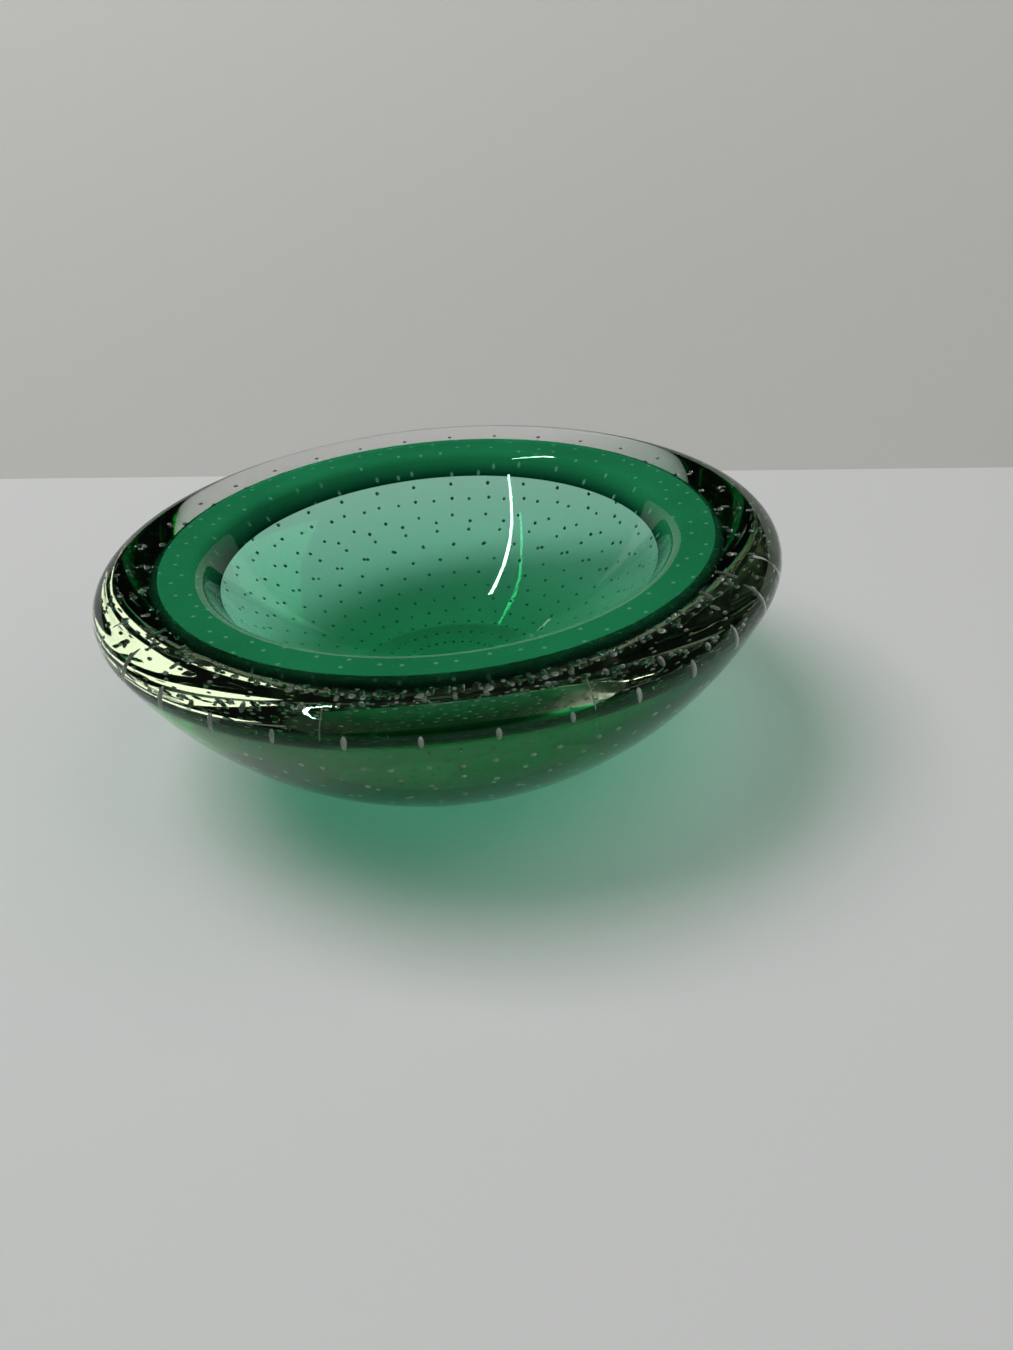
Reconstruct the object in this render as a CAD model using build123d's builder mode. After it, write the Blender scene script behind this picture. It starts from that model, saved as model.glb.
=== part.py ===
from build123d import *
from math import acos, asin, atan2, cos, degrees, hypot, pi, radians, sin, sqrt
import os

# Cased-glass bowl with trapped air bubbles. A thick green cup is covered by two clear gathers:
# the first is thin and is pricked all over by a spiked mould, and the second closes it in, so
# that each prick traps one bubble. The foot is ground flat. Millimetres, +Z up, origin at the
# centre of the foot. Every gather is turned about Z, from a profile drawn in the XZ plane.

# ---- outer form ----
rim_radius = 75.0  # widest radius, at the round shoulder
bowl_height = 51.0  # from the table to the top of the shoulder
shoulder_radius = 5.0  # round of the outer edge
foot_radius = 28.0  # flat that the bowl stands on, before its edge is rounded
foot_edge_radius = 1.2

# ---- hollow ----
mouth_radius = 50.8  # narrowest radius of the opening
lip_radius = 4.0  # round of the inner edge
lip_drop = 1.0  # how much lower the inner edge is than the shoulder
hollow_floor = 20.0  # lowest point of the hollow

# ---- gathers ----
green_rim_radius = 61.0  # outer radius of the green glass on the rim
green_floor = 12.0  # lowest point of the green glass
green_wall = 3.5  # green glass beside the lip, above the hollow's floor it is thicker
collar_drop = 4.0  # depth under the rim of the middle of the green collar
collar_fillet = 2.0  # hollow round where the collar runs into the green wall
first_gather = 2.0  # clear glass between the collar and the bubbles
casing_floor = 4.0  # lowest point of the pricked face
rim_cover = 4.0  # clear glass of the second gather over the upper end of the first
gather_end_rise = 1.0  # height of that rounded end

# ---- bubbles ----
bubble_columns = 34  # bubbles in each ring
ring_pitch = 4.8  # distance between rings, along the wall
first_ring_gap = 2.4  # from the upper end of the first gather to the first ring
top_bubble_radius = 0.75
low_bubble_radius = 0.5
large_rings = 3  # rings over which the bubbles shrink from the one size to the other
sunk_ratio = 0.4  # depth of a bubble's centre under the pricked face, over its radius
least_bubble_gap = 0.8  # glass left between two bubbles of the lowest ring


class Dome:
    """A sphere centred on the Z axis, known by its lowest point and its radius."""

    def __init__(self, lowest, radius):
        self.radius = radius
        self.centre = lowest + radius

    def angle_at(self, height):
        """Angle up from the lowest point to this height, in degrees."""
        return degrees(acos((self.centre - height) / self.radius))

    def point(self, angle):
        """Profile point at this angle up from the lowest point."""
        across = self.radius * sin(radians(angle))
        return across, self.centre - self.radius * cos(radians(angle))

    def arc(self, start, end):
        """Profile line between two such angles."""
        return CenterArc((0, self.centre), self.radius, start - 90, end - start)


def dome_through(lowest, edge):
    """The dome with this lowest point that passes through a profile point."""
    across, rise = edge[0], edge[1] - lowest
    return Dome(lowest, (across**2 + rise**2) / (2 * rise))


def dome_touching(lowest, round_centre, round_radius):
    """The dome with this lowest point that a round outside it touches."""
    across, height = round_centre
    reach = across**2 + height**2 - (round_radius - lowest) ** 2
    return Dome(lowest, reach / (2 * (height + round_radius - lowest)) - lowest)


def dome_around(round_centre, round_radius, base_radius):
    """The dome that a round inside it touches, and that meets the table at base_radius."""
    across, height = round_centre
    span = across**2 + height**2 - base_radius**2 - round_radius**2
    narrow = height**2 - round_radius**2
    edge_term = span**2 - (2 * round_radius * base_radius) ** 2
    centre = (span * height + sqrt((span * height) ** 2 - narrow * edge_term)) / (2 * narrow)
    radius = hypot(centre, base_radius)
    return Dome(centre - radius, radius)


def dome_over(lowest, round_centre, round_radius):
    """The dome with this lowest point that a round inside it touches."""
    across, rise = round_centre[0], round_centre[1] - lowest
    return Dome(lowest, (across**2 + rise**2 - round_radius**2) / (2 * (rise - round_radius)))


def fillet_centre_between(dome, round_centre, round_radius, fillet_radius):
    """Centre of the fillet that touches a dome and a round from outside, on their lower side."""
    across, fall = round_centre[0], dome.centre - round_centre[1]
    apart = hypot(across, fall)
    from_dome = dome.radius + fillet_radius
    from_round = round_radius + fillet_radius
    along = (from_dome**2 - from_round**2 + apart**2) / (2 * apart)
    aside = sqrt(from_dome**2 - along**2)
    return (
        (along * across - aside * fall) / apart,
        dome.centre - (along * fall + aside * across) / apart,
    )


def round_point(centre, radius, angle):
    """Profile point of a round, at this angle from +X."""
    return centre[0] + radius * cos(radians(angle)), centre[1] + radius * sin(radians(angle))


# ---- rim: two rounds, and the straight line that touches both ----
shoulder_centre = (rim_radius - shoulder_radius, bowl_height - shoulder_radius)
lip_centre = (mouth_radius + lip_radius, bowl_height - lip_drop - lip_radius)
rim_run = shoulder_centre[0] - lip_centre[0]
rim_climb = shoulder_centre[1] - lip_centre[1]
rim_widening = asin((shoulder_radius - lip_radius) / hypot(rim_run, rim_climb))
rim_normal = 90 + degrees(atan2(rim_climb, rim_run) + rim_widening)
lip_top = round_point(lip_centre, lip_radius, rim_normal)
shoulder_top = round_point(shoulder_centre, shoulder_radius, rim_normal)
green_edge_share = (green_rim_radius - lip_top[0]) / (shoulder_top[0] - lip_top[0])
green_edge = (green_rim_radius, lip_top[1] + green_edge_share * (shoulder_top[1] - lip_top[1]))

# ---- body and hollow, with the angles at which they meet the rounds ----
body = dome_around(shoulder_centre, shoulder_radius, foot_radius)
body_start = body.angle_at(0)
body_end = degrees(atan2(shoulder_centre[0], body.centre - shoulder_centre[1]))
hollow = dome_touching(hollow_floor, lip_centre, lip_radius)
hollow_end = degrees(atan2(lip_centre[0], hollow.centre - lip_centre[1]))
lip_start = 90 + hollow_end

# ---- green wall: passes outside the end of the hollow, and carries a round collar ----
hollow_edge_share = (hollow.radius + green_wall) / (hollow.radius + lip_radius)
wall_edge = (
    hollow_edge_share * lip_centre[0],
    hollow.centre - hollow_edge_share * (hollow.centre - lip_centre[1]),
)
wall = dome_through(green_floor, wall_edge)
collar_half = (green_rim_radius - lip_centre[0]) / 2
collar_centre = (green_rim_radius - collar_half, green_edge[1] - collar_drop)
collar_radius = hypot(collar_half, collar_drop)
collar_end = degrees(atan2(collar_drop, collar_half))
fillet_centre = fillet_centre_between(wall, collar_centre, collar_radius, collar_fillet)
wall_end = degrees(atan2(fillet_centre[0], wall.centre - fillet_centre[1]))
collar_start = degrees(
    atan2(fillet_centre[1] - collar_centre[1], fillet_centre[0] - collar_centre[0])
)

# ---- pricked face between the two clear gathers, and the upper end of the first ----
casing_face = dome_over(casing_floor, collar_centre, collar_radius + first_gather)
casing_top = bowl_height - rim_cover
casing_inner_end = degrees(asin((casing_top - collar_centre[1]) / collar_radius))
casing_outer_end = casing_face.angle_at(casing_top)
casing_inner_corner = round_point(collar_centre, collar_radius, casing_inner_end)
casing_outer_corner = casing_face.point(casing_outer_end)
casing_crown = (
    (casing_inner_corner[0] + casing_outer_corner[0]) / 2,
    casing_top + gather_end_rise,
)

# ---- rings of bubbles ----
top_ring_angle = casing_outer_end - degrees(first_ring_gap / casing_face.radius)
ring_step = degrees(ring_pitch / casing_face.radius)
tightest_ring = bubble_columns * (2 * low_bubble_radius + least_bubble_gap) / (2 * pi)


def bubble_radius_at(ring):
    """Radius of the bubbles in a ring, counted down from the rim."""
    share = min(ring / large_rings, 1)
    return top_bubble_radius + share * (low_bubble_radius - top_bubble_radius)


def bubble_centres(ring, angle):
    """Centres of one ring of bubbles, at this angle up the pricked face.

    They lie a little inside the face, and every second ring is turned by half a column.
    """
    sunk = sunk_ratio * bubble_radius_at(ring)
    sunk_face = Dome(casing_floor + sunk, casing_face.radius - sunk)
    across, height = sunk_face.point(angle)
    turns = [360 * (column + ring % 2 / 2) / bubble_columns for column in range(bubble_columns)]
    return [Vector(across, 0, height).rotate(Axis.Z, turn) for turn in turns]


def collar_arc(start, end):
    """Profile line of the collar between two angles from +X."""
    return CenterArc(collar_centre, collar_radius, start, end - start)


def green_outside(end):
    """Profile lines of the green glass from the axis up its wall, to this angle of the collar."""
    wall.arc(0, wall_end)
    CenterArc(fillet_centre, collar_fillet, wall_end + 90, collar_start + 90 - wall_end)
    return collar_arc(collar_start, end)


# ---- green cup: the glass that holds the hollow ----
with BuildPart() as green_cup:
    with BuildSketch(Plane.XZ):
        with BuildLine():
            Line((0, green_floor), (0, hollow_floor))
            hollow.arc(0, hollow_end)
            CenterArc(lip_centre, lip_radius, lip_start, rim_normal - lip_start)
            Line(lip_top, green_edge)
            green_outside(collar_end)
        make_face()
    revolve(axis=Axis.Z)

# ---- first clear gather, pricked from the rim down to the foot ----
with BuildPart() as inner_casing:
    with BuildSketch(Plane.XZ):
        with BuildLine():
            Line((0, casing_floor), (0, green_floor))
            green_outside(casing_inner_end)
            ThreePointArc(casing_inner_corner, casing_crown, casing_outer_corner)
            casing_face.arc(casing_outer_end, 0)
        make_face()
    revolve(axis=Axis.Z)
    ring, ring_angle = 0, top_ring_angle
    while casing_face.point(ring_angle)[0] > tightest_ring:
        with Locations(*bubble_centres(ring, ring_angle)):
            Sphere(bubble_radius_at(ring), mode=Mode.SUBTRACT)
        ring += 1
        ring_angle -= ring_step

# ---- second clear gather: the outside of the bowl, with the ground foot ----
with BuildPart() as outer_casing:
    with BuildSketch(Plane.XZ):
        with BuildLine():
            Line((0, 0), (foot_radius, 0))
            body.arc(body_start, body_end)
            CenterArc(shoulder_centre, shoulder_radius, body_end - 90, rim_normal - body_end + 90)
            Line(shoulder_top, green_edge)
            collar_arc(casing_inner_end, collar_end)
            ThreePointArc(casing_inner_corner, casing_crown, casing_outer_corner)
            casing_face.arc(casing_outer_end, 0)
            Line((0, casing_floor), (0, 0))
        make_face()
        foot_corner = vertices().group_by(Axis.Y)[0].sort_by(Axis.X)[-1]
        fillet(foot_corner, foot_edge_radius)
    revolve(axis=Axis.Z)

green_cup.part.label = "green_cup"
inner_casing.part.label = "inner_casing"
outer_casing.part.label = "outer_casing"

os.makedirs("parts", exist_ok=True)
export_step(green_cup.part, "parts/green_cup.step")
export_step(inner_casing.part, "parts/inner_casing.step")
export_step(outer_casing.part, "parts/outer_casing.step")
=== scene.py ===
import math

import bpy
import numpy as np
from mathutils import Matrix, Vector


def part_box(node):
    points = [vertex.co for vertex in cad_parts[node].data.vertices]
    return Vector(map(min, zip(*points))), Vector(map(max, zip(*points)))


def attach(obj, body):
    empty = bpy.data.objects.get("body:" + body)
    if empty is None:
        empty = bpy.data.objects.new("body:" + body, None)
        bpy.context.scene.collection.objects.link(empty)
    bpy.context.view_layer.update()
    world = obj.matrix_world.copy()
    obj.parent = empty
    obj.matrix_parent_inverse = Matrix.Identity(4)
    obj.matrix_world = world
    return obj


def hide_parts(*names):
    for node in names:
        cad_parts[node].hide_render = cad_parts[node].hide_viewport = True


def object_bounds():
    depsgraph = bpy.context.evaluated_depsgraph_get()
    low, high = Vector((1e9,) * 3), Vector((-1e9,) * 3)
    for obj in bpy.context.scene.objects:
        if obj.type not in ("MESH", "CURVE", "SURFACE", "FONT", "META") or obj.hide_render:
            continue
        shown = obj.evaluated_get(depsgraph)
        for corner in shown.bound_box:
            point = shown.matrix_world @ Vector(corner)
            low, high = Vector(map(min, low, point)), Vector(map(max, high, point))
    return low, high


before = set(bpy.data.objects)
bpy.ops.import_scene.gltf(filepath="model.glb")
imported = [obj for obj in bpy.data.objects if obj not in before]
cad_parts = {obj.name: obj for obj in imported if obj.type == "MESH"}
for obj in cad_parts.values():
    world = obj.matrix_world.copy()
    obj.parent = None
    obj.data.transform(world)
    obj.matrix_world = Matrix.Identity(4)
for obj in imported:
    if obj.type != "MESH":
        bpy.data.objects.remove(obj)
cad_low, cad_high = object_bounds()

# Cased-glass bowl: a green cup under a clear casing in which rings of air bubbles are caught.
# Metres, +Z up, origin at the centre of the foot. The cup and the casing are turned about Z,
# and where they are fused together their faces neither bend nor mirror the light.

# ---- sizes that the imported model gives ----
RIM_RADIUS = (cad_high.x - cad_low.x) / 2
BOWL_HEIGHT = cad_high.z
GREEN_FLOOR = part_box("green_cup")[0].z  # lowest point of the green glass
CASING_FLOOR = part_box("inner_casing")[0].z  # lowest point of the face that holds the bubbles

# ---- the bowl's other sizes, as its drawing has them ----
SHOULDER_RADIUS = 0.005  # round of the outer edge
FOOT_RADIUS = 0.028  # flat that the bowl stands on, before its edge is rounded
FOOT_EDGE_RADIUS = 0.0012
MOUTH_RADIUS = 0.0508  # narrowest radius of the opening
LIP_RADIUS = 0.004  # round of the inner edge
LIP_DROP = 0.001  # how much lower the inner edge is than the shoulder
HOLLOW_FLOOR = 0.02  # lowest point of the hollow
GREEN_RIM_RADIUS = 0.061  # outer radius of the green glass on the rim
GREEN_WALL = 0.0035  # green glass beside the lip
COLLAR_DROP = 0.004  # depth under the rim of the middle of the green collar
COLLAR_FILLET = 0.002  # hollow round where the collar runs into the green wall
FIRST_GATHER = 0.002  # clear glass between the collar and the bubbles
RIM_COVER = 0.004  # clear glass over the upper end of the first gather
FUSED_LAP = 0.00002  # how far each gather's mesh reaches into the other

# ---- bubbles on the first gather ----
BUBBLE_COLUMNS = 34  # bubbles in each ring
RING_PITCH = 0.0048  # distance between rings, along the wall
FIRST_RING_GAP = 0.0024  # from the upper end of the first gather to the first ring
TOP_BUBBLE_RADIUS = 0.00075
LOW_BUBBLE_RADIUS = 0.0005
LARGE_RINGS = 3  # rings over which the bubbles shrink from the one size to the other
FINE_RING = 1  # the shoulder would draw this ring out into long bars, so its bubbles are tiny
FINE_BUBBLE_RADIUS = 0.00015
SUNK_RATIO = 0.4  # depth of a bubble's centre under the dome, over its radius
LEAST_BUBBLE_GAP = 0.0008  # glass left between two bubbles of the lowest ring
BUBBLE_SPREAD = 0.05  # how much the bubbles' sizes and places stray, as a share of their radius

# ---- bubbles further out in the clear glass, on a dome of their own ----
OUTER_DOME_FLOOR = -0.0005
OUTER_DOME_RADIUS = 0.0767
OUTER_BUBBLE_TOP = 0.0435  # height of the highest ring
OUTER_BUBBLE_RADIUS = 0.00055
OUTER_RING_PITCH = 0.0075
OUTER_RINGS = 5

# ---- grids: faces round the bowl and round a bubble, and points along each profile ----
AROUND = 288
BUBBLE_AROUND = 10
BUBBLE_RINGS = 5
FOOT_POINTS = 14
FOOT_EDGE_POINTS = 7
BODY_POINTS = 64
SHOULDER_POINTS = 24
CLEAR_RIM_POINTS = 8
GREEN_RIM_POINTS = 6
LIP_POINTS = 14
HOLLOW_POINTS = 56
WALL_POINTS = 48
FILLET_POINTS = 8
COLLAR_POINTS = 24

# ---- glass ----
GLASS_INDEX = 1.5  # against air
FUSED_INDEX = 1.0  # against the glass that a face is fused to
GREEN_TINT = (0.0, 0.84, 0.58)
GREEN_DENSITY = 205.0
GREEN_CLOUDING = 0.03
STRAW_TINT = (0.42, 0.5, 0.32)
STRAW_DENSITY = 14.0
STRAW_CLOUDING = 0.02
SHINE = (0.3, 0.7, 0.5)  # colour of the reflections
RIM_GLOW_CLEARNESS = 0.7  # the rest of the green rim is cloudy: a painted glow that a lamp lights
BUBBLE_GLINT_CLEARNESS = 0.7  # the rest of a bubble's skin is pale: a painted glint that a lamp lights
WAVE_STRENGTH = 0.2
WAVE_HEIGHT = 0.001

# ---- wear ----
CLOUD_SIZE = 60.0
CLOUD_DETAIL = 6.0
CLOUD_RANGE = (0.5, 0.75)  # noise from which the clouding starts, and at which it is full
WAVE_SIZE = 30.0
WAVE_DETAIL = 1.0
GROUND_RANGE = (0.0003, 0.0001)  # heights between which the polish gives way to the ground foot
GROUND_ROUGHNESS = 0.3

# ---- green rim: its green with a painted glow, painted shade at its edges, painted glints ----
RIM_INNER_RADIUS = 0.049  # where the cloudy green of the rim, its painted glow, starts
# the rim's own green, and a painted glow that stands in for light coming through the rim
RIM_GREEN_AND_GLOW = (0.022, 0.35, 0.135)
# painted shade: a darker green at the rim's inner and outer edges
EDGE_SHADE_GREEN = (0.0, 0.05, 0.025)
# colour of the painted glints: pale dots that stand in for the bubbles' highlights
PAINTED_GLINT_GREEN = (0.2, 0.6, 0.4)
# stops across the rim: painted shade at both edges, the painted glow between them
RIM_GLOW_AND_SHADE_STOPS = ((0.0, EDGE_SHADE_GREEN), (0.16, RIM_GREEN_AND_GLOW), (0.9, RIM_GREEN_AND_GLOW), (1.0, EDGE_SHADE_GREEN))
STREAK_SIZE = 45.0
STREAK_DETAIL = 3.0
STREAK_RANGE = (0.7, 1.2)  # darkest and lightest share of the green
# size, scatter and spread of the painted glints
PAINTED_GLINT_SIZE = 190.0
PAINTED_GLINT_SCATTER = 0.6
PAINTED_GLINT_RANGE = (("From Min", 0.05), ("From Max", 0.1), ("To Min", 0.8), ("To Max", 0.0))

# ---- stage ----
FLOOR_COLOUR = (0.66, 0.67, 0.66)
BACKDROP_COLOUR = (0.6, 0.595, 0.575)
SHEET_ROUGHNESS = 0.9
SHEET_SHINE = 0.1
STAGE_LEVEL = -0.00005  # just under the foot
STAGE_HALF_WIDTH = 1.6
STAGE_DEPTH = 2.0
BACKDROP_PLACE = (0.0, 0.1725)  # middle of the line where the backdrop meets the floor
BACKDROP_TURN = math.radians(-13.9)
BACKDROP_RISE = 0.18  # its height, and how far it leans back, which is 45 degrees

# ---- lamps ----
LAMP_PLACE = (-0.62, 0.08, 1.4)
LAMP_SIZE = (0.9, 0.9)
LAMP_POWER = 16.5
GREEN_SHARE = (0.04, 0.27, 0.15)  # what the bowl lets through of the high lamp's light
INNER_POWER = 22
FILL_PLACE = (0.9, -0.2, 1.1)
FILL_SIZE = (1.4, 1.4)
FILL_POWER = 6
WINDOW_PLACE = (1.6, 0.1, 0.55)
WINDOW_SIZE = (2.4, 1.5)
WINDOW_POWER = 48
TUBE_START = (-1.051, -0.767, 1.5)
TUBE_END = (-0.368, 0.833, 1.5)
TUBE_WIDTH = 0.03
TUBE_POWER = 15
WORLD_LEVEL = 0.01

# ---- camera ----
CAMERA_PLACE = (0, -0.2107, 0.14171)
CAMERA_TURNS = (31.832, 3.531, -4.404)  # degrees down, to the right, and about its own line
CAMERA_LENS = 27.04
CAMERA_SENSOR = 36.0
CAMERA_NEAR = 0.01

random = np.random.default_rng(7)  # draws the small strays of the bubbles


# ======================================================================= profiles
class Dome:
    """A sphere centred on the Z axis, known by its lowest point and its radius."""

    def __init__(self, lowest, radius):
        self.radius = radius
        self.centre = lowest + radius

    def angle_at(self, height):
        """Angle up from the lowest point to this height, in radians."""
        return math.acos((self.centre - height) / self.radius)

    def profile(self, start, end, count):
        """Profile points between two such angles: radius x sine, centre - radius x cosine."""
        angle = np.linspace(start, end, count)
        return np.column_stack(
            (self.radius * np.sin(angle), self.centre - self.radius * np.cos(angle))
        )


def dome_through(lowest, edge):
    """The dome with this lowest point that passes through a profile point."""
    across, rise = edge[0], edge[1] - lowest
    return Dome(lowest, (across**2 + rise**2) / (2 * rise))


def dome_touching(lowest, round_centre, round_radius):
    """The dome with this lowest point that a round outside it touches."""
    across, height = round_centre
    reach = across**2 + height**2 - (round_radius - lowest) ** 2
    return Dome(lowest, reach / (2 * (height + round_radius - lowest)) - lowest)


def dome_around(round_centre, round_radius, base_radius):
    """The dome that a round inside it touches, and that meets the table at base_radius."""
    across, height = round_centre
    span = across**2 + height**2 - base_radius**2 - round_radius**2
    narrow = height**2 - round_radius**2
    edge_term = span**2 - (2 * round_radius * base_radius) ** 2
    centre = (span * height + math.sqrt((span * height) ** 2 - narrow * edge_term)) / (2 * narrow)
    radius = math.hypot(centre, base_radius)
    return Dome(centre - radius, radius)


def dome_over(lowest, round_centre, round_radius):
    """The dome with this lowest point that a round inside it touches."""
    across, rise = round_centre[0], round_centre[1] - lowest
    return Dome(lowest, (across**2 + rise**2 - round_radius**2) / (2 * (rise - round_radius)))


def fillet_centre_between(dome, round_centre, round_radius, fillet_radius):
    """Centre of the fillet that touches a dome and a round from outside, on their lower side."""
    across, fall = round_centre[0], dome.centre - round_centre[1]
    apart = math.hypot(across, fall)
    from_dome = dome.radius + fillet_radius
    from_round = round_radius + fillet_radius
    along = (from_dome**2 - from_round**2 + apart**2) / (2 * apart)
    aside = math.sqrt(from_dome**2 - along**2)
    return (
        (along * across - aside * fall) / apart,
        dome.centre - (along * fall + aside * across) / apart,
    )


def round_profile(centre, radius, start, end, count):
    """Profile points of a round: centre + radius x (cosine, sine) from one angle to the other."""
    angle = np.linspace(start, end, count)
    return np.column_stack(
        (centre[0] + radius * np.cos(angle), centre[1] + radius * np.sin(angle))
    )


def joined(*stretches):
    """One profile from several that meet end to end, with each shared point kept once."""
    return np.vstack([stretches[0]] + [stretch[1:] for stretch in stretches[1:]])


# ---- rim ----
shoulder_centre = (RIM_RADIUS - SHOULDER_RADIUS, BOWL_HEIGHT - SHOULDER_RADIUS)
lip_centre = (MOUTH_RADIUS + LIP_RADIUS, BOWL_HEIGHT - LIP_DROP - LIP_RADIUS)
rim_run = shoulder_centre[0] - lip_centre[0]
rim_climb = shoulder_centre[1] - lip_centre[1]
rim_widening = math.asin((SHOULDER_RADIUS - LIP_RADIUS) / math.hypot(rim_run, rim_climb))
rim_normal = math.pi / 2 + math.atan2(rim_climb, rim_run) + rim_widening
lip_top = round_profile(lip_centre, LIP_RADIUS, rim_normal, rim_normal, 1)[0]
shoulder_top = round_profile(shoulder_centre, SHOULDER_RADIUS, rim_normal, rim_normal, 1)[0]


def rim_point(radius):
    """The point of the rim's straight line at this distance from the axis."""
    share = (radius - lip_top[0]) / (shoulder_top[0] - lip_top[0])
    return lip_top + share * (shoulder_top - lip_top)


def rim_profile(start, end, count):
    """Profile points of the rim's straight line between two distances from the axis."""
    share = np.linspace(0, 1, count)[:, None]
    return rim_point(start) + share * (rim_point(end) - rim_point(start))


# ---- body, hollow and the faces where the gathers are fused ----
body = dome_around(shoulder_centre, SHOULDER_RADIUS, FOOT_RADIUS)
body_end = math.atan2(shoulder_centre[0], body.centre - shoulder_centre[1])
hollow = dome_touching(HOLLOW_FLOOR, lip_centre, LIP_RADIUS)
hollow_end = math.atan2(lip_centre[0], hollow.centre - lip_centre[1])
green_edge = rim_point(GREEN_RIM_RADIUS)

# ---- green wall: passes outside the end of the hollow, and carries a round collar ----
hollow_edge_share = (hollow.radius + GREEN_WALL) / (hollow.radius + LIP_RADIUS)
wall_edge = (
    hollow_edge_share * lip_centre[0],
    hollow.centre - hollow_edge_share * (hollow.centre - lip_centre[1]),
)
wall = dome_through(GREEN_FLOOR, wall_edge)
collar_half = (GREEN_RIM_RADIUS - lip_centre[0]) / 2
collar_centre = (GREEN_RIM_RADIUS - collar_half, green_edge[1] - COLLAR_DROP)
collar_radius = math.hypot(collar_half, COLLAR_DROP)
collar_end = math.atan2(COLLAR_DROP, collar_half)
collar_reach = collar_centre[0] + collar_radius
fillet_centre = fillet_centre_between(wall, collar_centre, collar_radius, COLLAR_FILLET)
wall_end = math.atan2(fillet_centre[0], wall.centre - fillet_centre[1])
collar_start = math.atan2(
    fillet_centre[1] - collar_centre[1], fillet_centre[0] - collar_centre[0]
)
casing_face = dome_over(CASING_FLOOR, collar_centre, collar_radius + FIRST_GATHER)


def fused_profile(lap):
    """The fused face from the axis up to the rim, moved outwards by lap, and its rim radius.

    It is the wall's dome, the fillet, and the collar's round, which ends on the rim's line.
    """
    dome = Dome(GREEN_FLOOR - lap, wall.radius + lap)
    fillet_turn = (wall_end + math.pi / 2, collar_start + math.pi)
    edge_radius = GREEN_RIM_RADIUS + lap
    collar = round_profile(
        collar_centre, collar_radius + lap, collar_start, collar_end, COLLAR_POINTS
    )
    collar[-1] = rim_point(edge_radius)
    face = joined(
        dome.profile(0, wall_end, WALL_POINTS),
        round_profile(fillet_centre, COLLAR_FILLET - lap, *fillet_turn, FILLET_POINTS),
        collar,
    )
    return face, edge_radius


def foot_profile():
    """The ground foot from the axis outwards, with its rounded edge, and the angle it ends at.

    The round touches the foot's plane and, from inside, the body's dome.
    """
    radius = FOOT_EDGE_RADIUS
    across = math.sqrt((body.radius - radius) ** 2 - (body.centre - radius) ** 2)
    meets = math.atan2(across, body.centre - radius)
    disc = np.column_stack((np.linspace(0, across, FOOT_POINTS), np.zeros(FOOT_POINTS)))
    turn = (-math.pi / 2, meets - math.pi / 2)
    return joined(disc, round_profile((across, radius), radius, *turn, FOOT_EDGE_POINTS)), meets


# ======================================================================= meshes
def turned(profile, around):
    """Points and faces of a profile turned about Z.

    A point is (radius x cosine, radius x sine, height) of the turn. The profile runs
    anticlockwise round the glass, from the axis to the axis, so that faces point outwards.
    """
    turn = np.linspace(0, 2 * np.pi, around, endpoint=False)
    rings = profile[1:-1]
    grid = np.empty((len(rings), around, 3))
    grid[..., 0] = rings[:, :1] * np.cos(turn)
    grid[..., 1] = rings[:, :1] * np.sin(turn)
    grid[..., 2] = rings[:, 1:]
    points = np.vstack((grid.reshape(-1, 3), (0, 0, profile[0, 1]), (0, 0, profile[-1, 1])))
    column = np.arange(around)
    after = (column + 1) % around
    ring = np.arange(len(rings) - 1)[:, None] * around
    quads = np.stack(
        (ring + column, ring + after, ring + around + after, ring + around + column), axis=-1
    ).reshape(-1, 4)
    first_pole, last_pole = len(points) - 2, len(points) - 1
    last_ring = (len(rings) - 1) * around
    fans = np.vstack(
        (
            np.column_stack((np.full(around, first_pole), after, column)),
            np.column_stack((np.full(around, last_pole), last_ring + column, last_ring + after)),
        )
    )
    return points, quads, fans


def bubble_template():
    """A unit bubble: points (sine x cosine, sine x sine, cosine) of two angles, with its faces.

    Its faces point inwards, into the air, because the glass lies outside it.
    """
    tilt = np.pi * np.arange(1, BUBBLE_RINGS + 1) / (BUBBLE_RINGS + 1)
    profile = np.column_stack((np.sin(tilt), -np.cos(tilt)))
    profile = np.vstack(((0, -1), profile, (0, 1)))
    points, quads, fans = turned(profile, BUBBLE_AROUND)
    return points, quads[:, ::-1], fans[:, ::-1]


def ring_bubbles(dome, top, rings, pitch, size):
    """Centres and radii of staggered rings of bubbles, sunk a little into a dome.

    The first ring lies at the angle top up the dome, and each other one a pitch below the one
    before it. Every second ring is turned by half a column. A centre is (reach x sine x cosine,
    reach x sine x sine, dome's centre - reach x cosine) of the ring's angle and the column's
    turn. Sizes and places stray a little. size gives the radius ring by ring.
    """
    ring = np.arange(rings)[:, None]
    angle = top - ring * pitch / dome.radius
    turn = 2 * np.pi * (np.arange(BUBBLE_COLUMNS) + ring % 2 / 2) / BUBBLE_COLUMNS
    reach = dome.radius - SUNK_RATIO * size
    centres = np.stack(
        (
            reach * np.sin(angle) * np.cos(turn),
            reach * np.sin(angle) * np.sin(turn),
            dome.centre - reach * np.cos(angle) * np.ones_like(turn),
        ),
        axis=-1,
    ).reshape(-1, 3)
    sizes = np.broadcast_to(size, turn.shape).reshape(-1)
    centres = centres + random.normal(0, BUBBLE_SPREAD, centres.shape) * sizes[:, None]
    sizes = sizes * (1 + random.normal(0, BUBBLE_SPREAD, sizes.shape))
    return centres, sizes


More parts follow.
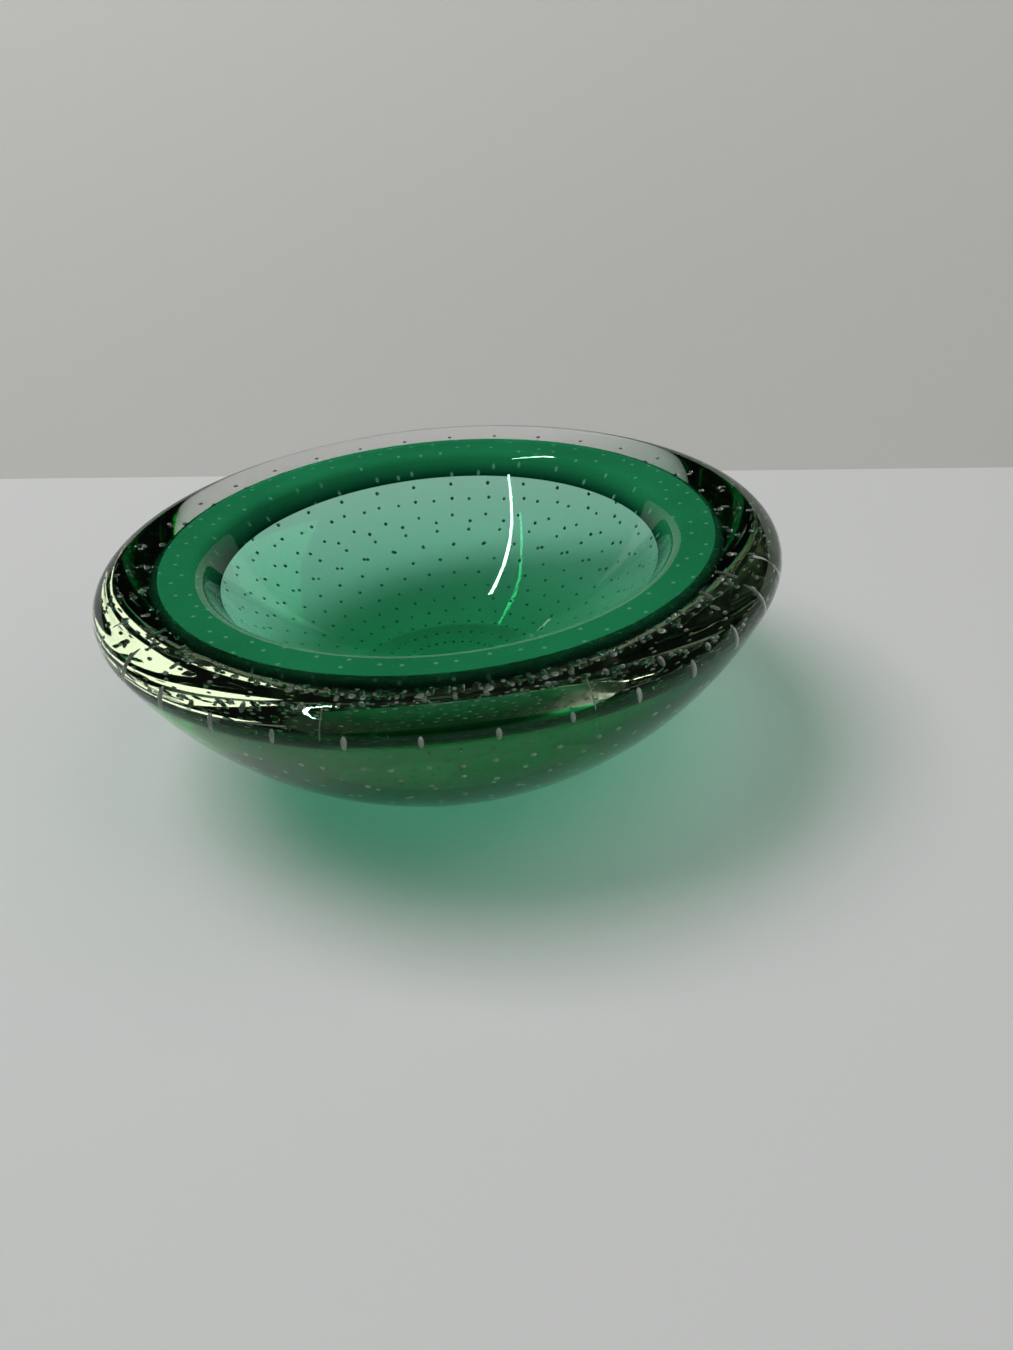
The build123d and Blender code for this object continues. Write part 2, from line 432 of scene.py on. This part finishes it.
def bubble_places():
    """Centres and radii of all bubbles: close rings on the first gather, wide ones outside it."""
    dome = casing_face
    top = dome.angle_at(BOWL_HEIGHT - RIM_COVER) - FIRST_RING_GAP / dome.radius
    tightest = BUBBLE_COLUMNS * (2 * LOW_BUBBLE_RADIUS + LEAST_BUBBLE_GAP) / (2 * math.pi)
    rings = int((top - math.asin(tightest / dome.radius)) * dome.radius / RING_PITCH) + 1
    shrink = np.minimum(np.arange(rings)[:, None] / LARGE_RINGS, 1)
    size = TOP_BUBBLE_RADIUS + shrink * (LOW_BUBBLE_RADIUS - TOP_BUBBLE_RADIUS)
    size[FINE_RING] = FINE_BUBBLE_RADIUS
    inner = ring_bubbles(dome, top, rings, RING_PITCH, size)
    dome = Dome(OUTER_DOME_FLOOR, OUTER_DOME_RADIUS)
    top = dome.angle_at(OUTER_BUBBLE_TOP)
    size = np.full((OUTER_RINGS, 1), OUTER_BUBBLE_RADIUS)
    outer = ring_bubbles(dome, top, OUTER_RINGS, OUTER_RING_PITCH, size)
    return np.vstack((inner[0], outer[0])), np.concatenate((inner[1], outer[1]))


def bubbles():
    """Points and faces of every bubble: the unit bubble scaled and moved to its place."""
    points, quads, fans = bubble_template()
    centres, sizes = bubble_places()
    placed = centres[:, None, :] + sizes[:, None, None] * points[None]
    step = (np.arange(len(centres)) * len(points))[:, None, None]
    return placed.reshape(-1, 3), (quads + step).reshape(-1, 4), (fans + step).reshape(-1, 3)


def glass_mesh(name, shells, sharp_ring, indices, slots):
    """One mesh object from shells of (points, quads, fans), smooth but for its sharp ring.

    indices gives the refractive index face by face, kept as the attribute glass_index, and
    slots the number of each face's material.
    """
    points, loops, sizes, offset = [], [], [], 0
    for shell_points, quads, fans in shells:
        points.append(shell_points)
        loops += [(quads + offset).reshape(-1), (fans + offset).reshape(-1)]
        sizes += [np.full(len(quads), 4), np.full(len(fans), 3)]
        offset += len(shell_points)
    points, loops, sizes = np.vstack(points), np.concatenate(loops), np.concatenate(sizes)
    mesh = bpy.data.meshes.new(name)
    mesh.vertices.add(len(points))
    mesh.vertices.foreach_set("co", points.astype(np.float32).reshape(-1))
    mesh.loops.add(len(loops))
    mesh.loops.foreach_set("vertex_index", loops.astype(np.int32))
    mesh.polygons.add(len(sizes))
    starts = np.concatenate(([0], np.cumsum(sizes)[:-1]))
    mesh.polygons.foreach_set("loop_start", starts.astype(np.int32))
    mesh.update(calc_edges=True)
    mesh.shade_smooth()
    edges = np.empty(len(mesh.edges) * 2, dtype=np.int32)
    mesh.edges.foreach_get("vertices", edges)
    rows = edges.reshape(-1, 2) // AROUND
    on_ring = (rows[:, 0] == rows[:, 1]) & (rows[:, 0] == sharp_ring)
    sharp = mesh.attributes.new("sharp_edge", "BOOLEAN", "EDGE")
    sharp.data.foreach_set("value", on_ring)
    index = mesh.attributes.new("glass_index", "FLOAT", "FACE")
    index.data.foreach_set("value", indices.astype(np.float32))
    mesh.polygons.foreach_set("material_index", slots.astype(np.int32))
    mesh.validate()
    piece = bpy.data.objects.new(name, mesh)
    bpy.context.scene.collection.objects.link(piece)
    return piece


def by_faces(steps):
    """The values of a turned shell's faces, from one value for each step of its profile."""
    return np.concatenate((np.repeat(steps[1:-1], AROUND), np.repeat(steps[[0, -1]], AROUND)))


def index_of_faces(is_fused):
    """Refractive index of a turned shell's faces, from which steps of its profile are fused."""
    return by_faces(np.where(is_fused, FUSED_INDEX, GLASS_INDEX))


def green_cup():
    """The green cup: hollow, rounded lip and rim outside, fused face underneath.

    Its second material covers the rim outside and, on the fused face, the collar's upper half:
    cloudy green with a painted glow, painted edge shade and painted glints.
    """
    fused, edge_radius = fused_profile(FUSED_LAP)
    skin = joined(
        rim_profile(edge_radius, lip_top[0], GREEN_RIM_POINTS),
        round_profile(lip_centre, LIP_RADIUS, rim_normal, math.pi / 2 + hollow_end, LIP_POINTS),
        hollow.profile(hollow_end, 0, HOLLOW_POINTS),
    )
    profile = joined(fused, skin)
    is_fused = np.arange(len(profile) - 1) < len(fused) - 1
    step_radius, step_height = ((profile[1:] + profile[:-1]) / 2).T
    in_rim = np.where(is_fused, step_height > collar_centre[1], step_radius > RIM_INNER_RADIUS)
    corner = len(fused) - 2
    shells = [turned(profile, AROUND)]
    return glass_mesh(
        "green_glass_cup", shells, corner, index_of_faces(is_fused), by_faces(in_rim)
    )


def clear_casing():
    """The clear casing: foot, body, shoulder and rim outside, fused face inside, with bubbles.

    Its second material covers the bubbles: a pale skin, a painted glint that a lamp lights.
    """
    foot, meets = foot_profile()
    fused, edge_radius = fused_profile(-FUSED_LAP)
    shoulder_turn = (body_end - math.pi / 2, rim_normal)
    skin = joined(
        foot,
        body.profile(meets, body_end, BODY_POINTS),
        round_profile(shoulder_centre, SHOULDER_RADIUS, *shoulder_turn, SHOULDER_POINTS),
        rim_profile(shoulder_top[0], edge_radius, CLEAR_RIM_POINTS),
    )
    profile = joined(skin, fused[::-1])
    is_fused = np.arange(len(profile) - 1) >= len(skin) - 1
    corner = len(skin) - 2
    caught = bubbles()
    shells = [turned(profile, AROUND), caught]
    in_bubble = np.ones(len(caught[1]) + len(caught[2]))
    indices = np.concatenate((index_of_faces(is_fused), GLASS_INDEX * in_bubble))
    slots = np.concatenate((by_faces(np.zeros(len(is_fused))), in_bubble))
    return glass_mesh("clear_glass_casing", shells, corner, indices, slots)


# ======================================================================= materials
def wear_group():
    """Fine wear of handled glass: faint clouding and the ground foot for Roughness, and, for
    Height, the slow wave of hand-worked glass.
    """
    group = bpy.data.node_groups.new("glass_wear", "ShaderNodeTree")
    for name, value in (("Cloud Size", CLOUD_SIZE), ("Clouding", 0.0), ("Wave Size", WAVE_SIZE)):
        socket = group.interface.new_socket(name, in_out="INPUT", socket_type="NodeSocketFloat")
        socket.default_value = value
    for name in ("Roughness", "Height"):
        group.interface.new_socket(name, in_out="OUTPUT", socket_type="NodeSocketFloat")
    nodes, links = group.nodes, group.links
    inside, outside = nodes.new("NodeGroupInput"), nodes.new("NodeGroupOutput")
    place = nodes.new("ShaderNodeTexCoord")
    cloud, wave = nodes.new("ShaderNodeTexNoise"), nodes.new("ShaderNodeTexNoise")
    cloud.inputs["Detail"].default_value = CLOUD_DETAIL
    wave.inputs["Detail"].default_value = WAVE_DETAIL
    worn = nodes.new("ShaderNodeMapRange")
    worn.inputs["From Min"].default_value = CLOUD_RANGE[0]
    worn.inputs["From Max"].default_value = CLOUD_RANGE[1]
    links.new(place.outputs["Object"], cloud.inputs["Vector"])
    links.new(place.outputs["Object"], wave.inputs["Vector"])
    links.new(inside.outputs["Cloud Size"], cloud.inputs["Scale"])
    links.new(inside.outputs["Wave Size"], wave.inputs["Scale"])
    links.new(cloud.outputs["Fac"], worn.inputs["Value"])
    links.new(inside.outputs["Clouding"], worn.inputs["To Max"])
    parts = nodes.new("ShaderNodeSeparateXYZ")
    ground = nodes.new("ShaderNodeMapRange")
    ground.inputs["From Min"].default_value = GROUND_RANGE[0]
    ground.inputs["From Max"].default_value = GROUND_RANGE[1]
    ground.inputs["To Max"].default_value = GROUND_ROUGHNESS
    total = nodes.new("ShaderNodeMath")
    links.new(place.outputs["Object"], parts.inputs["Vector"])
    links.new(parts.outputs["Z"], ground.inputs["Value"])
    links.new(worn.outputs["Result"], total.inputs[0])
    links.new(ground.outputs["Result"], total.inputs[1])
    links.new(total.outputs["Value"], outside.inputs["Roughness"])
    links.new(wave.outputs["Fac"], outside.inputs["Height"])
    return group


def rim_painted_light_group():
    """Colour of the green rim's cloudy part, a painted glow: painted shade at its two edges,
    slowly streaked, with painted glints.
    """
    group = bpy.data.node_groups.new("green_rim_painted_light", "ShaderNodeTree")
    group.interface.new_socket("Color", in_out="OUTPUT", socket_type="NodeSocketColor")
    nodes, links = group.nodes, group.links
    outside = nodes.new("NodeGroupOutput")
    place = nodes.new("ShaderNodeTexCoord")
    flat = nodes.new("ShaderNodeVectorMath")
    flat.operation = "MULTIPLY"
    flat.inputs[1].default_value = (1, 1, 0)
    radius = nodes.new("ShaderNodeVectorMath")
    radius.operation = "LENGTH"
    reach = nodes.new("ShaderNodeMapRange")
    reach.inputs["From Min"].default_value = RIM_INNER_RADIUS
    reach.inputs["From Max"].default_value = collar_reach
    # painted shade at the rim's two edges, painted glow between them
    ramp = nodes.new("ShaderNodeValToRGB")
    while len(ramp.color_ramp.elements) < len(RIM_GLOW_AND_SHADE_STOPS):
        ramp.color_ramp.elements.new(0.5)
    for element, (at, colour) in zip(ramp.color_ramp.elements, RIM_GLOW_AND_SHADE_STOPS):
        element.position = at
        element.color = (*colour, 1)
    streaks = nodes.new("ShaderNodeTexNoise")
    streaks.inputs["Scale"].default_value = STREAK_SIZE
    streaks.inputs["Detail"].default_value = STREAK_DETAIL
    shade = nodes.new("ShaderNodeMapRange")
    shade.inputs["To Min"].default_value = STREAK_RANGE[0]
    shade.inputs["To Max"].default_value = STREAK_RANGE[1]
    streaked = nodes.new("ShaderNodeVectorMath")
    streaked.operation = "SCALE"
    # painted glints: pale dots mixed into the rim's green
    painted_glint_cells = nodes.new("ShaderNodeTexVoronoi")
    painted_glint_cells.voronoi_dimensions = "2D"
    painted_glint_cells.inputs["Scale"].default_value = PAINTED_GLINT_SIZE
    painted_glint_cells.inputs["Randomness"].default_value = PAINTED_GLINT_SCATTER
    painted_glints = nodes.new("ShaderNodeMapRange")
    for name, value in PAINTED_GLINT_RANGE:
        painted_glints.inputs[name].default_value = value
    mix = nodes.new("ShaderNodeMix")
    mix.data_type = "RGBA"
    mix.inputs["B"].default_value = (*PAINTED_GLINT_GREEN, 1)
    links.new(place.outputs["Object"], flat.inputs[0])
    links.new(flat.outputs["Vector"], radius.inputs[0])
    links.new(radius.outputs["Value"], reach.inputs["Value"])
    links.new(reach.outputs["Result"], ramp.inputs["Fac"])
    links.new(place.outputs["Object"], streaks.inputs["Vector"])
    links.new(streaks.outputs["Fac"], shade.inputs["Value"])
    links.new(ramp.outputs["Color"], streaked.inputs["Vector"])
    links.new(shade.outputs["Result"], streaked.inputs["Scale"])
    links.new(flat.outputs["Vector"], painted_glint_cells.inputs["Vector"])
    links.new(painted_glint_cells.outputs["Distance"], painted_glints.inputs["Value"])
    links.new(painted_glints.outputs["Result"], mix.inputs["Factor"])
    links.new(streaked.outputs["Vector"], mix.inputs["A"])
    links.new(mix.outputs["Result"], outside.inputs["Color"])
    return group


def glass_material(name, wear, tint, density, clouding, clearness=1.0, surface_colour=None):
    """Clear or coloured glass: what it takes off the light grows with the way through it.

    Where clearness is under 1, the rest is cloudy: white, or in the colours of a node group.
    A lamp lights this cloudy part: a painted glow on the rim and painted glints on the bubbles.
    """
    material = bpy.data.materials.new(name)
    material.use_nodes = True
    nodes, links = material.node_tree.nodes, material.node_tree.links
    glass, output = nodes["Principled BSDF"], nodes["Material Output"]
    glass.inputs["Base Color"].default_value = (1, 1, 1, 1)
    # where clearness is under 1 the white base colour makes a pale cloudy part; on the bubbles, a
    # painted glint
    glass.inputs["Transmission Weight"].default_value = clearness
    glass.inputs["Specular Tint"].default_value = (*SHINE, 1)
    index = nodes.new("ShaderNodeAttribute")
    index.attribute_name = "glass_index"
    links.new(index.outputs["Fac"], glass.inputs["IOR"])
    worn = nodes.new("ShaderNodeGroup")
    worn.node_tree = wear
    worn.inputs["Clouding"].default_value = clouding
    links.new(worn.outputs["Roughness"], glass.inputs["Roughness"])
    uneven = nodes.new("ShaderNodeBump")
    uneven.inputs["Strength"].default_value = WAVE_STRENGTH
    uneven.inputs["Distance"].default_value = WAVE_HEIGHT
    links.new(worn.outputs["Height"], uneven.inputs["Height"])
    links.new(uneven.outputs["Normal"], glass.inputs["Normal"])
    body_tint = nodes.new("ShaderNodeVolumeAbsorption")
    body_tint.inputs["Color"].default_value = (*tint, 1)
    body_tint.inputs["Density"].default_value = density
    links.new(body_tint.outputs["Volume"], output.inputs["Volume"])
    # the cloudy part's colour: the rim's painted glow, painted edge shade and painted glints
    if surface_colour:
        cloudy_glow_colour = nodes.new("ShaderNodeGroup")
        cloudy_glow_colour.node_tree = surface_colour
        links.new(cloudy_glow_colour.outputs["Color"], glass.inputs["Base Color"])
    return material


# ======================================================================= studio
def plain_material(name, colour):
    """A matt sheet of one colour."""
    material = bpy.data.materials.new(name)
    material.use_nodes = True
    shader = material.node_tree.nodes["Principled BSDF"]
    shader.inputs["Base Color"].default_value = (*colour, 1)
    shader.inputs["Roughness"].default_value = SHEET_ROUGHNESS
    shader.inputs["Specular IOR Level"].default_value = SHEET_SHINE
    return material


def sheet(name, corners, material):
    """A flat four-cornered stage sheet."""
    mesh = bpy.data.meshes.new(name)
    mesh.from_pydata(corners, [], [(0, 1, 2, 3)])
    mesh.materials.append(material)
    made = bpy.data.objects.new(name, mesh)
    bpy.context.scene.collection.objects.link(made)


def build_stage():
    """Pale floor, and behind the bowl a pale backdrop that leans back, at a slight angle to it."""
    foot_line, near = np.array(BACKDROP_PLACE), np.array((0.0, STAGE_DEPTH))
    along = np.array((math.cos(BACKDROP_TURN), math.sin(BACKDROP_TURN)))
    back = BACKDROP_RISE * np.array((-math.sin(BACKDROP_TURN), math.cos(BACKDROP_TURN)))
    left, right = foot_line - STAGE_HALF_WIDTH * along, foot_line + STAGE_HALF_WIDTH * along
    left_foot, right_foot = (*left, STAGE_LEVEL), (*right, STAGE_LEVEL)
    sheet(
        "floor",
        [(*(left - near), STAGE_LEVEL), (*(right - near), STAGE_LEVEL), right_foot, left_foot],
        plain_material("pale_cloth", FLOOR_COLOUR),
    )
    sheet(
        "backdrop",
        [left_foot, right_foot, (*(right + back), BACKDROP_RISE), (*(left + back), BACKDROP_RISE)],
        plain_material("pale_backdrop", BACKDROP_COLOUR),
    )


def lamp_object(name, size, power, colour=(1, 1, 1)):
    """A flat lamp of this width and height, in metres, not yet put in its place."""
    lamp = bpy.data.lights.new(name, "AREA")
    lamp.shape = "RECTANGLE"
    lamp.size, lamp.size_y = size
    lamp.energy = power
    lamp.color = colour
    made = bpy.data.objects.new(name, lamp)
    bpy.context.scene.collection.objects.link(made)
    return made


def area_lamp(name, place, size, power, colour=(1, 1, 1)):
    """A flat lamp turned towards the bowl's foot."""
    made = lamp_object(name, size, power, colour)
    made.location = place
    made.rotation_mode = "QUATERNION"
    made.rotation_quaternion = (-Vector(place)).to_track_quat("-Z", "Y")
    return made


def tube_lamp(name, start, end, width, power):
    """A long thin lamp between two points, turned about its length to face the bowl."""
    start, end = Vector(start), Vector(end)
    made = lamp_object(name, ((end - start).length, width), power)
    middle = (start + end) / 2
    along = (end - start).normalized()
    back = (middle - along * middle.dot(along)).normalized()
    turn = Matrix((along, back.cross(along), back)).transposed().to_4x4()
    made.matrix_world = Matrix.Translation(middle) @ turn
    made.visible_diffuse = False


def build_light(glass):
    """A dim room with a lamp high on the left, a fill lamp, a window and a thin tube.

    The high lamp is two lamps in one place that add up to white. The glass stops the first one
    only, and the second one is the green light that it lets through, so that the shadow is
    green. A third lamp in that place lights the glass alone and unshaded: the pale skin of the
    bubbles, a painted glint, and the cloudy green of the rim, a painted glow. These and the fill
    lamp on the right don't show in the glass. The window on the right shows only through the
    glass, and the tube shows in and through it, and neither lights the matt sheets.
    """
    world = bpy.data.worlds.new("room")
    bpy.context.scene.world = world
    world.use_nodes = True
    background = world.node_tree.nodes["Background"]
    background.inputs["Color"].default_value = (WORLD_LEVEL,) * 3 + (1,)
    background.inputs["Strength"].default_value = 1.0
    window = area_lamp("window", WINDOW_PLACE, WINDOW_SIZE, WINDOW_POWER)
    window.visible_diffuse = False
    window.visible_glossy = False
    through = np.array(GREEN_SHARE)
    stopped = area_lamp("stopped_light", LAMP_PLACE, LAMP_SIZE, LAMP_POWER, 1 - through)
    passed = area_lamp("green_light", LAMP_PLACE, LAMP_SIZE, LAMP_POWER, through)
    # lamp for the glass alone: it lights the painted glow of the rim and the bubbles' painted
    # glints
    inner = area_lamp("light_in_bubbles", LAMP_PLACE, LAMP_SIZE, INNER_POWER)
    fill = area_lamp("fill_light", FILL_PLACE, FILL_SIZE, FILL_POWER)
    for lamp in (stopped, passed, inner, fill):
        lamp.visible_glossy = False
        lamp.visible_transmission = False
    lit = bpy.data.collections.new("lit_inside")
    unshaded = bpy.data.collections.new("lets_light_through")
    for piece in glass:
        lit.objects.link(piece)
        unshaded.objects.link(piece)
    inner.light_linking.receiver_collection = lit
    passed.light_linking.blocker_collection = unshaded
    inner.light_linking.blocker_collection = unshaded
    for held in unshaded.collection_objects:
        held.light_linking.link_state = "EXCLUDE"
    tube_lamp("long_tube", TUBE_START, TUBE_END, TUBE_WIDTH, TUBE_POWER)


def build_camera():
    """The camera stands in front of the bowl and looks down on it, slightly tilted."""
    pitch, yaw, roll = map(math.radians, CAMERA_TURNS)
    look = Vector(
        (math.sin(yaw) * math.cos(pitch), math.cos(yaw) * math.cos(pitch), -math.sin(pitch))
    )
    camera = bpy.data.cameras.new("camera")
    camera.lens = CAMERA_LENS
    camera.sensor_width = CAMERA_SENSOR
    camera.clip_start = CAMERA_NEAR
    made = bpy.data.objects.new("camera", camera)
    bpy.context.scene.collection.objects.link(made)
    level = look.to_track_quat("-Z", "Y").to_matrix()
    turn = (level @ Matrix.Rotation(roll, 3, "Z")).to_4x4()
    made.matrix_world = Matrix.Translation(CAMERA_PLACE) @ turn
    bpy.context.scene.camera = made


# ======================================================================= assembly
wear = wear_group()
cup = green_cup()
casing = clear_casing()
green = (wear, GREEN_TINT, GREEN_DENSITY, GREEN_CLOUDING)
straw = (wear, STRAW_TINT, STRAW_DENSITY, STRAW_CLOUDING)
for made in (
    glass_material("green_glass", *green),
    # rim glass: cloudy green with a painted glow, painted edge shade and painted glints
    glass_material("green_rim_glass", *green, RIM_GLOW_CLEARNESS, rim_painted_light_group()),
):
    cup.data.materials.append(made)
for made in (
    glass_material("clear_glass", *straw),
    # the bubbles' pale skin is a painted glint
    glass_material("bubble_skin_painted_glint", *straw, BUBBLE_GLINT_CLEARNESS),
):
    casing.data.materials.append(made)
for piece, slot, nodes in (
    (cup, "green_glass", ["green_cup"]),
    (casing, "clear_glass", ["inner_casing", "outer_casing"]),
):
    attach(piece, "root")
    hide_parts(*nodes)

build_stage()
build_light((cup, casing))
build_camera()

scene = bpy.context.scene
scene.view_settings.view_transform = "Standard"
scene.cycles.max_bounces = 32
scene.cycles.transmission_bounces = 32
scene.cycles.glossy_bounces = 16
scene.cycles.diffuse_bounces = 4
scene.cycles.transparent_max_bounces = 8
